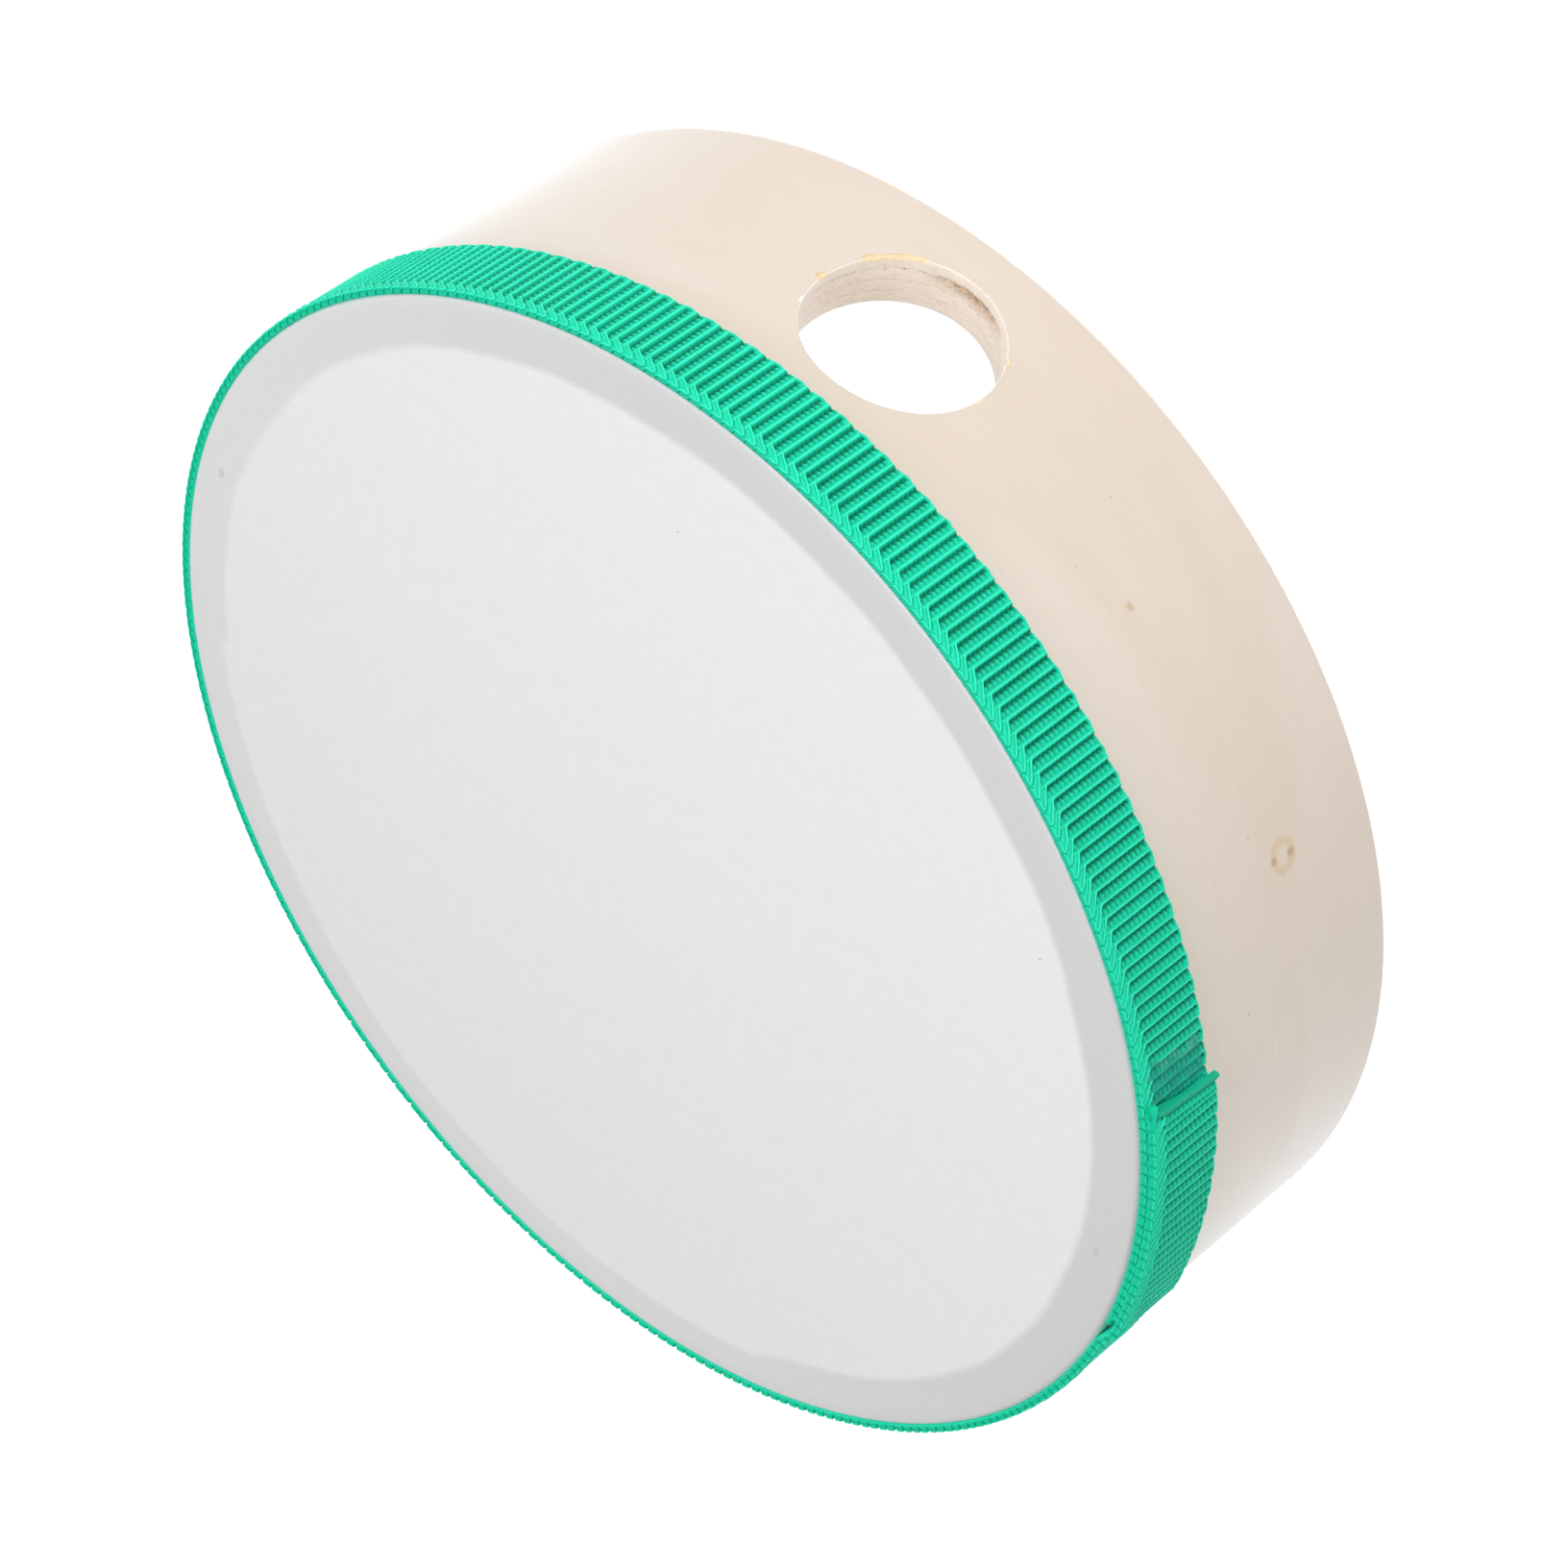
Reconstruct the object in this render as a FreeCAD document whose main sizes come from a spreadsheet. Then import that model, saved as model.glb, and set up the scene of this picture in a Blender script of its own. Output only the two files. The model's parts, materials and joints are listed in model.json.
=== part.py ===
"""Six inch one-headed frame drum, in millimetres.

The drum lies on the open back rim of its shell with the head up.
Origin: centre of the back rim. +Z: along the drum's axis, towards the head.
The finger hole faces -Y. Angles round the drum are azimuths: 0 at -Y, growing towards +X.
"""

import FreeCAD, Part
import math
import os

import Sketcher

# The driving dimensions, in millimetres, degrees or plain counts.
SIZES = {
    "shell_radius": 75.0,
    "shell_wall": 6.8,
    "shell_height": 43.8,
    "ply_count": 4,
    "rim_chamfer": 0.5,
    "seam_gap": 0.25,
    "seam_slant": 2.0,
    "hole_radius": 11.55,
    "hole_height": 17.7,
    "hole_easing": 0.3,
    "head_thickness": 0.25,
    "head_skirt": 8.5,
    "tape_width": 11.2,
    "tape_thickness": 1.0,
    "tape_lip": 0.15,
    "lap_gap": 0.1,
    "lap_under_azimuth": -95.0,
    "lap_over_azimuth": -67.4,
    "lap_ramp": 6.0,
    "glue_under": 2.0,
    "glue_step": 0.2,
    "glue_bead": 0.3,
    "glue_bead_reach": 1.2,
    "glue_reach": 3.8,
    "glue_feather": 0.05,
    "glue_margin": 0.7,
}

# The shell's plies from the outside in, with the azimuth of each one's own slanted seam.
PLY_SEAMS = {
    "ply_outer": 165.0,
    "ply_second": 60.0,
    "ply_third": -125.0,
    "ply_inner": 106.0,
}

TOOL_OVERRUN = 1.0  # how far a cut runs past the faces it opens
TOUCHING = 1e-4
START, END, CENTRE = 1, 2, 3  # the points of a sketch element
SKETCH_ORIGIN = (-1, 1)
SKETCH_Y_AXIS = -2
FILLET = ("PartDesign::Fillet", "Radius")
CHAMFER = ("PartDesign::Chamfer", "Size")


def make_sheet(doc):
    """The spreadsheet that holds every driving dimension under its alias."""
    sheet = doc.addObject("Spreadsheet::Sheet", "Sizes")
    seams = {f"{name}_seam": azimuth for name, azimuth in PLY_SEAMS.items()}
    for row, (alias, value) in enumerate({**SIZES, **seams}.items(), start=1):
        sheet.set(f"A{row}", alias)
        sheet.set(f"B{row}", str(value))
        sheet.setAlias(f"B{row}", alias)
    doc.recompute()


def size(doc, expression):
    """The number that an expression of the sheet's aliases gives, for a sketch's first guess."""
    return float(doc.Sizes.evalExpression(expression))


def new_body(doc, name):
    body = doc.addObject("PartDesign::Body", name)
    body.Label = name
    return body


def origin_feature(body, role):
    return next(f for f in body.Origin.OriginFeatures if f.Role == role)


def new_sketch(body, name, plane):
    sketch = body.newObject("Sketcher::SketchObject", name)
    sketch.AttachmentSupport = [(origin_feature(body, plane), "")]
    sketch.MapMode = "FlatFace"
    return sketch


def bind(sketch, name, expression, *constraint):
    """Adds a constraint that has a size, and ties the size to the sheet."""
    index = sketch.addConstraint(Sketcher.Constraint(*constraint))
    sketch.renameConstraint(index, name)
    sketch.setExpression(f"Constraints.{name}", expression)


def join(sketch, *points):
    sketch.addConstraint(Sketcher.Constraint("Coincident", *points))


def draw_circle(sketch, name, radius, height=None):
    """A circle on the sketch's upright axis, centred at its origin or at a height above it."""
    rise = size(sketch.Document, height) if height else 0
    length = size(sketch.Document, radius)
    outline = Part.Circle(FreeCAD.Vector(0, rise, 0), FreeCAD.Vector(0, 0, 1), length)
    circle = sketch.addGeometry(outline)
    bind(sketch, f"{name}_radius", radius, "Radius", circle, length)
    if height:
        on_axis = Sketcher.Constraint("PointOnObject", circle, CENTRE, SKETCH_Y_AXIS)
        sketch.addConstraint(on_axis)
        bind(sketch, f"{name}_height", height, "DistanceY", *SKETCH_ORIGIN, circle, CENTRE, rise)
    else:
        join(sketch, circle, CENTRE, *SKETCH_ORIGIN)


def draw_polygon(sketch, corners):
    """A closed outline of straight lines, whose corners are pairs of expressions."""
    doc = sketch.Document
    points = [FreeCAD.Vector(size(doc, x), size(doc, y), 0) for x, y in corners]
    lines = [
        sketch.addGeometry(Part.LineSegment(points[k - 1], point))
        for k, point in enumerate(points)
    ]
    for k, line in enumerate(lines):
        join(sketch, lines[k - 1], END, line, START)
        for axis, expression, length in zip("xy", corners[k], points[k]):
            distance = "Distance" + axis.upper()
            bind(sketch, f"{axis}{k}", expression, distance, *SKETCH_ORIGIN, line, END, length)


def polar(doc, radius, azimuth):
    """A point in a sketch on the XY plane, whose own angles start at +X."""
    turn = math.radians(size(doc, azimuth) - 90)
    return FreeCAD.Vector(math.cos(turn), math.sin(turn), 0) * size(doc, radius)


def draw_side(sketch, name, stations, radii):
    """One side of a strip that runs round the origin: an arc between two stations, or a ramp.

    stations are azimuths. radii has one entry for each stretch between them, None for a ramp,
    which joins the arcs before and after it. Returns the side's first and last element.
    """
    doc = sketch.Document
    chain = []
    for k, radius in enumerate(radii):
        here, there = stations[k], stations[k + 1]
        if radius:
            turns = [math.radians(size(doc, azimuth) - 90) for azimuth in (here, there)]
            circle = Part.Circle(FreeCAD.Vector(), FreeCAD.Vector(0, 0, 1), size(doc, radius))
            element = sketch.addGeometry(Part.ArcOfCircle(circle, *turns))
            join(sketch, element, CENTRE, *SKETCH_ORIGIN)
            bind(sketch, f"{name}_radius{k}", radius, "Radius", element, circle.Radius)
        else:
            ramp = [polar(doc, radii[k - 1], here), polar(doc, radii[k + 1], there)]
            element = sketch.addGeometry(Part.LineSegment(*ramp))
        if chain:
            join(sketch, chain[-1], END, element, START)
        chain.append(element)
    ends = [(element, START) for element in chain] + [(chain[-1], END)]
    for k, (azimuth, end) in enumerate(zip(stations, ends)):
        ray = sketch.addGeometry(Part.LineSegment(FreeCAD.Vector(), sketch.getPoint(*end)), True)
        join(sketch, ray, START, *SKETCH_ORIGIN)
        join(sketch, ray, END, *end)
        turn = math.radians(size(doc, azimuth) - 90)
        bind(sketch, f"{name}_station{k}", f"(({azimuth}) - 90) * 1 deg", "Angle", ray, turn)
    return chain[0], chain[-1]


def draw_strip(sketch, outer, inner):
    """A closed strip round the origin between two sides, each given as stations and radii."""
    outside = draw_side(sketch, "outer", *outer)
    inside = draw_side(sketch, "inner", *inner)
    for first, last, end in zip(outside, inside, (START, END)):
        corners = [sketch.getPoint(first, end), sketch.getPoint(last, end)]
        cut = sketch.addGeometry(Part.LineSegment(*corners))
        join(sketch, cut, START, first, end)
        join(sketch, cut, END, last, end)


def pad(body, name, sketch, length):
    """Raises a sketch along its normal."""
    feature = body.newObject("PartDesign::Pad", name)
    feature.Profile = sketch
    feature.setExpression("Length", length)
    sketch.Document.recompute()
    return feature


def pocket(body, name, sketch, length):
    """Cuts a sketch out along its normal, and makes sure that the cut took something away."""
    before = body.Shape.Volume
    feature = body.newObject("PartDesign::Pocket", name)
    feature.Profile = sketch
    feature.Reversed = True
    feature.setExpression("Length", length)
    sketch.Document.recompute()
    if body.Shape.Volume > before - TOUCHING:
        raise RuntimeError(f"{body.Label}: {name} cuts nothing")
    return feature


def ease(body, name, base, edges, how, amount):
    """Takes a sharp edge off: how is a Fillet with its Radius, or a Chamfer with its Size."""
    kind, dimension = how
    feature = body.newObject(kind, name)
    feature.Base = (base, edges)
    feature.setExpression(dimension, amount)
    body.Document.recompute()
    return feature


def rim_edges(shape, radius):
    """The names of the level round edges of that radius, at both ends of a ring."""
    return [
        f"Edge{k}"
        for k, edge in enumerate(shape.Edges, start=1)
        if isinstance(edge.Curve, Part.Circle)
        and edge.BoundBox.ZLength < TOUCHING
        and abs(edge.Curve.Radius - radius) < TOUCHING
    ]


def top_edges(shape, radius):
    """The names of the round edges of that radius at their highest level."""
    level = {name: shape.getElement(name).BoundBox.ZMax for name in rim_edges(shape, radius)}
    return [name for name in level if level[name] > max(level.values()) - TOUCHING]


def hole_edges(shape, radius):
    """The names of the edges that the finger hole leaves on the round face of that radius."""
    return [
        f"Edge{k}"
        for k, edge in enumerate(shape.Edges, start=1)
        if edge.BoundBox.XLength > 1
        and edge.BoundBox.ZLength > 1
        and all(abs(math.hypot(p.x, p.y) - radius) < TOUCHING for p in edge.discretize(5))
    ]


def make_ply(doc, name, depth):
    """One veneer of the bent plywood shell, with its own seam, cut through by the finger hole."""
    outer = f"Sizes.shell_radius - {depth} * Sizes.shell_wall / Sizes.ply_count"
    inner = f"Sizes.shell_radius - {depth + 1} * Sizes.shell_wall / Sizes.ply_count"
    body = new_body(doc, name)

    ring = new_sketch(body, f"{name}_ring", "XY_Plane")
    draw_circle(ring, "outer", outer)
    draw_circle(ring, "inner", inner)
    feature = pad(body, f"{name}_wall", ring, "Sizes.shell_height")

    eased_sides = {0: outer, size(doc, "Sizes.ply_count") - 1: inner}
    if depth in eased_sides:
        rims = rim_edges(feature.Shape, size(doc, eased_sides[depth]))
        feature = ease(body, f"{name}_rims", feature, rims, CHAMFER, "Sizes.rim_chamfer")

    hole = new_sketch(body, f"{name}_hole_outline", "XZ_Plane")
    draw_circle(hole, "hole", "Sizes.hole_radius", "Sizes.hole_height")
    feature = pocket(body, f"{name}_finger_hole", hole, f"Sizes.shell_radius + {TOOL_OVERRUN}")
    if depth == 0:
        edges = hole_edges(feature.Shape, size(doc, outer))
        feature = ease(body, f"{name}_hole_edge", feature, edges, FILLET, "Sizes.hole_easing")

    seam = new_sketch(body, f"{name}_seam_outline", "XY_Plane")
    far = f"-({outer} + {TOOL_OVERRUN})"
    near = f"-({inner} - {TOOL_OVERRUN})"
    draw_polygon(
        seam,
        [
            ("Sizes.seam_slant / 2", far),
            ("Sizes.seam_slant / 2 + Sizes.seam_gap", far),
            ("-Sizes.seam_slant / 2 + Sizes.seam_gap", near),
            ("-Sizes.seam_slant / 2", near),
        ],
    )
    seam.setExpression("AttachmentOffset.Rotation.Angle", f"Sizes.{name}_seam * 1 deg")
    pocket(body, f"{name}_seam", seam, "Sizes.shell_height")


def make_head(doc):
    """The skin, flat over the shell's front rim and folded down outside it."""
    body = new_body(doc, "drum_head")
    body.setExpression("Placement.Base.z", "Sizes.shell_height - Sizes.head_skirt")
    reach = "Sizes.shell_radius + Sizes.head_thickness"

    disc = new_sketch(body, "head_disc", "XY_Plane")
    draw_circle(disc, "disc", reach)
    feature = pad(body, "head_skin", disc, "Sizes.head_skirt + Sizes.head_thickness")
    folded = top_edges(feature.Shape, size(doc, reach))
    ease(body, "head_fold", feature, folded, FILLET, "Sizes.rim_chamfer + Sizes.head_thickness")

    shell = new_sketch(body, "head_inside", "XY_Plane")
    draw_circle(shell, "shell", "Sizes.shell_radius")
    feature = pocket(body, "head_hollow", shell, "Sizes.head_skirt")
    corner = top_edges(feature.Shape, size(doc, "Sizes.shell_radius"))
    ease(body, "head_corner", feature, corner, CHAMFER, "Sizes.rim_chamfer")


def make_tape(doc):
    """The ribbed tape: once round over the head's folded margin, then over its own start."""
    body = new_body(doc, "trim_tape")
    top = "Sizes.shell_height + Sizes.head_thickness + Sizes.tape_lip"
    body.setExpression("Placement.Base.z", f"{top} - Sizes.tape_width")
    under = "Sizes.shell_radius + Sizes.head_thickness"
    over = f"{under} + Sizes.tape_thickness + Sizes.lap_gap"
    stations = [
        "Sizes.lap_under_azimuth",
        "Sizes.lap_under_azimuth + 360 - Sizes.lap_ramp",
        "Sizes.lap_under_azimuth + 360",
        "Sizes.lap_over_azimuth + 360",
    ]
    outline = new_sketch(body, "tape_outline", "XY_Plane")
    face = [f"{under} + Sizes.tape_thickness", None, f"{over} + Sizes.tape_thickness"]
    back = [under, None, over]
    draw_strip(outline, outer=(stations, face), inner=(stations, back))
    pad(body, "tape_strip", outline, "Sizes.tape_width")


def make_lap_glue(doc):
    """The glue between the two layers of the lap, with a bead squeezed out at the tape's end."""
    body = new_body(doc, "lap_glue")
    tape_bottom = "Sizes.shell_height + Sizes.head_thickness + Sizes.tape_lip - Sizes.tape_width"
    body.setExpression("Placement.Base.z", f"{tape_bottom} + Sizes.glue_margin")
    back = "Sizes.shell_radius + Sizes.head_thickness + Sizes.tape_thickness"
    stations = [
        "Sizes.lap_under_azimuth + Sizes.glue_under",
        "Sizes.lap_over_azimuth",
        "Sizes.lap_over_azimuth + Sizes.glue_step",
        "Sizes.lap_over_azimuth + Sizes.glue_bead_reach",
        "Sizes.lap_over_azimuth + Sizes.glue_reach - Sizes.glue_step",
        "Sizes.lap_over_azimuth + Sizes.glue_reach",
    ]
    face = [f"{back} + Sizes.lap_gap", None, f"{back} + Sizes.glue_bead"]
    face += [None, f"{back} + Sizes.glue_feather"]
    outline = new_sketch(body, "glue_outline", "XY_Plane")
    ends = [stations[0], stations[-1]]
    draw_strip(outline, outer=(stations, face), inner=(ends, [back]))
    pad(body, "glue_patch", outline, "Sizes.tape_width - 2 * Sizes.glue_margin")


def check(doc):
    """Stops if any object failed to compute, or any piece isn't one sound solid."""
    failed = [o.Name for o in doc.Objects if {"Invalid", "Error"} & set(o.State)]
    if failed:
        raise RuntimeError(f"these objects failed: {failed}")
    for body in doc.findObjects("PartDesign::Body"):
        shape = body.Shape
        if shape.isNull() or not shape.isValid() or len(shape.Solids) != 1:
            raise RuntimeError(f"{body.Label} isn't one valid solid")
    sketches = doc.findObjects("Sketcher::SketchObject")
    loose = [sketch.Name for sketch in sketches if not sketch.FullyConstrained]
    if loose:
        raise RuntimeError(f"these sketches aren't fully constrained: {loose}")


def export(doc):
    os.makedirs("parts", exist_ok=True)
    for body in doc.findObjects("PartDesign::Body"):
        body.Shape.exportStep(f"parts/{body.Label}.step")
        box = body.Shape.BoundBox
        print(f"{body.Label}: {body.Shape.Volume:.1f} mm3, z {box.ZMin:.2f} to {box.ZMax:.2f}")


def main():
    doc = FreeCAD.newDocument("frame_drum")
    make_sheet(doc)
    for depth, name in enumerate(PLY_SEAMS):
        make_ply(doc, name, depth)
    make_head(doc)
    make_tape(doc)
    make_lap_glue(doc)
    doc.recompute()
    check(doc)
    export(doc)


main()
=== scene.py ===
"""Looks of the six inch frame drum: bent plywood shell, white skin, ribbed green ribbon.

Everything is in metres in the CAD part's frame: the drum lies on its open back rim with the
skin up, the finger hole faces -Y. Angles round the drum are azimuths: 0 at -Y, growing to +X.
"""

import json
import math

import bmesh
import bpy
import numpy as np
from mathutils import Matrix, Vector


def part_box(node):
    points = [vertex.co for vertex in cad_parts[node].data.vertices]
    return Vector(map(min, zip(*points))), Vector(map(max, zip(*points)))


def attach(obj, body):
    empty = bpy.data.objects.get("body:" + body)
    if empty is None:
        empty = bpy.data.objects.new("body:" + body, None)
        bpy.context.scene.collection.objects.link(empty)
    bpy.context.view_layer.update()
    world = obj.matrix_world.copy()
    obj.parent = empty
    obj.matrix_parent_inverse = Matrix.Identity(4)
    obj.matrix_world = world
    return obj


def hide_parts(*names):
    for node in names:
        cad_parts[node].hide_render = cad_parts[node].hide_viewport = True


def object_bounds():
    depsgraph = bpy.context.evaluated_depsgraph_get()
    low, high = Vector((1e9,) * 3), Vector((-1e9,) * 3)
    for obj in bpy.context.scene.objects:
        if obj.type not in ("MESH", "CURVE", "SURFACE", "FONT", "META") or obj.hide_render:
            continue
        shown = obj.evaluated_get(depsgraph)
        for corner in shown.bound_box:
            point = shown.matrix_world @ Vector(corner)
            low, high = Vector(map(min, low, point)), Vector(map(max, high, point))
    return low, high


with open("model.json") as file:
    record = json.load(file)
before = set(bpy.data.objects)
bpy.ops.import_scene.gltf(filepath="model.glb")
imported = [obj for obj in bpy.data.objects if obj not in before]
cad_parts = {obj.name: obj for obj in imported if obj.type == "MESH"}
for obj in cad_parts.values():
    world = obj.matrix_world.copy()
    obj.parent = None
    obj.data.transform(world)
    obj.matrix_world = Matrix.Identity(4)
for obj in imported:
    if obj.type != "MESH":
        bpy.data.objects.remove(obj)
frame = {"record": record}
cad_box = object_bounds()

MM = 0.001
SEED = 7

# Sizes that come from the CAD part.
hole_mount = next(m for m in frame["record"]["mounts"] if m["name"] == "finger_hole")
HOLE_RADIUS = hole_mount["dims"]["r_mm"] * MM
HOLE_HEIGHT = hole_mount["pos_m"][2]
WALL = hole_mount["dims"]["length_mm"] * MM
PLIES = ["ply_outer", "ply_second", "ply_third", "ply_inner"]
SHELL_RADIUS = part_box("ply_outer")[1].x
SHELL_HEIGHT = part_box("ply_outer")[1].z
PLY = WALL / len(PLIES)
HEAD_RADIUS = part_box("drum_head")[1].x
HEAD_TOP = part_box("drum_head")[1].z
HEAD_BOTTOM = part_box("drum_head")[0].z
HEAD_THICKNESS = HEAD_RADIUS - SHELL_RADIUS
RIBBON_REAR, RIBBON_FRONT = (corner.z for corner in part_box("trim_tape"))
RIBBON_WIDTH = RIBBON_FRONT - RIBBON_REAR
RIBBON_BACK = HEAD_RADIUS
RIBBON_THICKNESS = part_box("trim_tape")[1].x - RIBBON_BACK

# The seam of each ply, in degrees of azimuth, and its gap and its slant through the ply.
SEAMS = {"ply_outer": 165, "ply_second": 60, "ply_third": -125, "ply_inner": 106}
SEAM_GAP = 0.05 * MM
SEAM_SLANT = 2.0 * MM

# The ribbon's ends, in degrees of azimuth. It goes round once and climbs onto its own start.
RIBBON_START = -95.0
RIBBON_END = 292.6
LAP_RAMP = 3.2  # the degrees in which it climbs
LAP_GAP = 0.1 * MM  # between its two layers there


# ---- meshes ----


def round_point(radius, azimuth, z):
    """Points at that radius, azimuth in degrees and height, as an array of rows."""
    turn = np.radians(azimuth)
    parts = np.broadcast_arrays(radius * np.sin(turn), -radius * np.cos(turn), z)
    return np.stack(parts, axis=-1).reshape(-1, 3)


def grid(rows, columns, loop_rows=False, loop_columns=False, start=0):
    """The quads of a grid of points stored row by row."""
    r = np.arange(rows if loop_rows else rows - 1)
    c = np.arange(columns if loop_columns else columns - 1)
    r, c = (x.ravel() for x in np.meshgrid(r, c, indexing="ij"))
    r_next, c_next = (r + 1) % rows, (c + 1) % columns
    quads = [r * columns + c, r * columns + c_next, r_next * columns + c_next, r_next * columns + c]
    return (start + np.stack(quads, axis=1)).tolist()


def bridge(near, far, closed=False):
    """The quads between two rows of point numbers."""
    if closed:
        near, far = np.append(near, near[0]), np.append(far, far[0])
    return np.stack([near[:-1], near[1:], far[1:], far[:-1]], axis=1).tolist()


def border(numbers):
    """The point numbers once round the edge of a block of them."""
    sides = [numbers[0, :-1], numbers[:-1, -1], numbers[-1, :0:-1], numbers[:0:-1, 0]]
    return np.concatenate(sides)


def stitch(inner, outer, points, centre):
    """Triangles between two closed loops of point numbers that both run the same way round."""

    def turns(loop):
        d = points[loop] - centre
        angle = np.unwrap(np.arctan2(d[:, 1], d[:, 0]))
        return np.append(angle, angle[0] + 2 * np.pi)

    shift = np.argmin(np.linalg.norm(points[outer] - points[inner[0]], axis=1))
    outer = np.roll(outer, -shift)
    a, b = turns(inner), turns(outer)
    b += 2 * np.pi * np.round((a[0] - b[0]) / (2 * np.pi))
    i = j = 0
    faces = []
    while i < len(inner) or j < len(outer):
        here, there = inner[i % len(inner)], outer[j % len(outer)]
        step_inner = j >= len(outer) or (i < len(inner) and a[i + 1] <= b[j + 1])
        if step_inner:
            faces.append([here, inner[(i + 1) % len(inner)], there])
            i += 1
        else:
            faces.append([here, outer[(j + 1) % len(outer)], there])
            j += 1
    return faces


def add_object(name, data):
    thing = bpy.data.objects.new(name, data)
    bpy.context.scene.collection.objects.link(thing)
    return thing


def make_piece(name, points, faces, material, node, attributes=None):
    """A closed mesh that rides on the drum and stands for the CAD node.

    attributes hold a value or a vector for each point, which the material's nodes read.
    """
    mesh = bpy.data.meshes.new(name)
    mesh.from_pydata(points.tolist(), [], faces)
    mesh.validate()
    mesh.polygons.foreach_set("use_smooth", [True] * len(mesh.polygons))
    for key, values in (attributes or {}).items():
        kind, field = ("FLOAT", "value") if values.ndim == 1 else ("FLOAT_VECTOR", "vector")
        values = values.astype(np.float32).ravel()
        mesh.attributes.new(key, kind, "POINT").data.foreach_set(field, values)
    outwards = bmesh.new()
    outwards.from_mesh(mesh)
    bmesh.ops.recalc_face_normals(outwards, faces=outwards.faces)
    outwards.to_mesh(mesh)
    outwards.free()
    mesh.materials.append(material)
    piece = add_object(name, mesh)
    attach(piece, "root")
    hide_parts(node)
    return piece


def smoothstep(low, high, x):
    """0 at low, 1 at high, and smooth between them."""
    t = np.clip((x - low) / (high - low), 0, 1)
    return t * t * (3 - 2 * t)


def wander(x, seed, waves, shortest):
    """A smooth random curve through x, from -1 to 1, whose waves are no shorter than that."""
    rng = np.random.default_rng(seed)
    total = 0.0
    for k in range(waves):
        length = shortest * (1 + 1.7 * k)
        total = total + np.sin(2 * np.pi * (x / length + rng.random()))
    return total / waves


# ---- materials ----


def srgb(red, green, blue):
    """A linear colour from the usual 0 to 255 values."""
    values = np.array([red, green, blue]) / 255
    linear = np.where(values <= 0.04045, values / 12.92, ((values + 0.055) / 1.055) ** 2.4)
    return (*(float(v) for v in linear), 1.0)


class Tree:
    """Short calls that build a node tree."""

    def __init__(self, tree):
        self.tree = tree

    def put(self, socket, value):
        """Links the socket to another, sets its value, or leaves it as it is for None."""
        if isinstance(value, bpy.types.NodeSocket):
            self.tree.links.new(value, socket)
        elif value is not None:
            socket.default_value = value

    def add(self, kind, inputs=None, **settings):
        node = self.tree.nodes.new("ShaderNode" + kind)
        for key, value in settings.items():
            setattr(node, key, value)
        for key, value in (inputs or {}).items():
            self.put(node.inputs[key], value)
        return node

    def math(self, operation, a, b=0.0, c=0.0):
        return self.add("Math", {0: a, 1: b, 2: c}, operation=operation).outputs[0]

    def times(self, a, b):
        return self.math("MULTIPLY", a, b)

    def scaled(self, vector, scale):
        inputs = {0: vector, 1: scale}
        return self.add("VectorMath", inputs, operation="MULTIPLY").outputs[0]

    def distance(self, vector, point, squeeze=(1, 1, 1)):
        offset = self.add("VectorMath", {0: vector, 1: point}, operation="SUBTRACT")
        stretched = self.scaled(offset.outputs[0], squeeze)
        return self.add("VectorMath", {0: stretched}, operation="LENGTH").outputs[1]

    def noise(self, vector, scale, detail=3.0, roughness=0.5, distortion=0.0):
        inputs = {"Vector": vector, "Scale": scale, "Detail": detail}
        inputs.update({"Roughness": roughness, "Distortion": distortion})
        return self.add("TexNoise", inputs).outputs["Fac"]

    def span(self, value, low, high, to_low=0.0, to_high=1.0):
        """to_low where the value is low, to_high where it is high, and smooth between them."""
        node = self.add("MapRange", {0: value, 1: low, 2: high, 3: to_low, 4: to_high})
        node.interpolation_type = "SMOOTHSTEP"
        return node.outputs[0]

    def mix(self, factor, a, b):
        node = self.add("Mix", data_type="RGBA")
        self.put(node.inputs[0], factor)
        self.put(node.inputs[6], a)
        self.put(node.inputs[7], b)
        return node.outputs[2]

    def bump(self, height, strength, distance, normal=None):
        inputs = {"Height": height, "Strength": strength, "Distance": distance, "Normal": normal}
        return self.add("Bump", inputs).outputs["Normal"]


class Nodes(Tree):
    """A material and its node tree."""

    def __init__(self, name, roughness, **sockets):
        self.material = bpy.data.materials.new(name)
        self.material.use_nodes = True
        super().__init__(self.material.node_tree)
        self.shader = self.tree.nodes["Principled BSDF"]
        self.shader.inputs["Roughness"].default_value = roughness
        for socket, value in sockets.items():
            self.shader.inputs[socket.replace("_", " ")].default_value = value

    def attribute(self, name, vector=False):
        node = self.add("Attribute", attribute_name=name)
        return node.outputs["Vector" if vector else "Fac"]

    def finish(self, colour, normal=None, roughness=None):
        values = {"Base Color": colour, "Normal": normal, "Roughness": roughness}
        for socket, value in values.items():
            self.put(self.shader.inputs[socket], value)
        return self.material


# Marks on the outer veneer: azimuth in degrees, height in mm, radii along and across in mm.
KNOT = (-56.0, 14.6, 2.05, 1.8)
KNOT_SPOTS = [(-56.2, 13.35, 0.85), (-56.0, 16.1, 0.75)]
BROWN_SPOT = (-30.1, 19.8, 0.55)
SPECKS = [(-21.9, 13.4, 0.2), (-24.9, 22.8, 0.18), (-52.5, 18.8, 0.22), (-67.7, 24.3, 0.3)]
PORE_PATCH = (-36.0, 22.5, 6.5, 3.5)


def on_shell(azimuth, height_mm):
    """A place on the outer veneer in the grain coordinates: round, into the wall, up, in mm."""
    return (math.radians(azimuth) * SHELL_RADIUS / MM, 0.0, height_mm)


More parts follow.
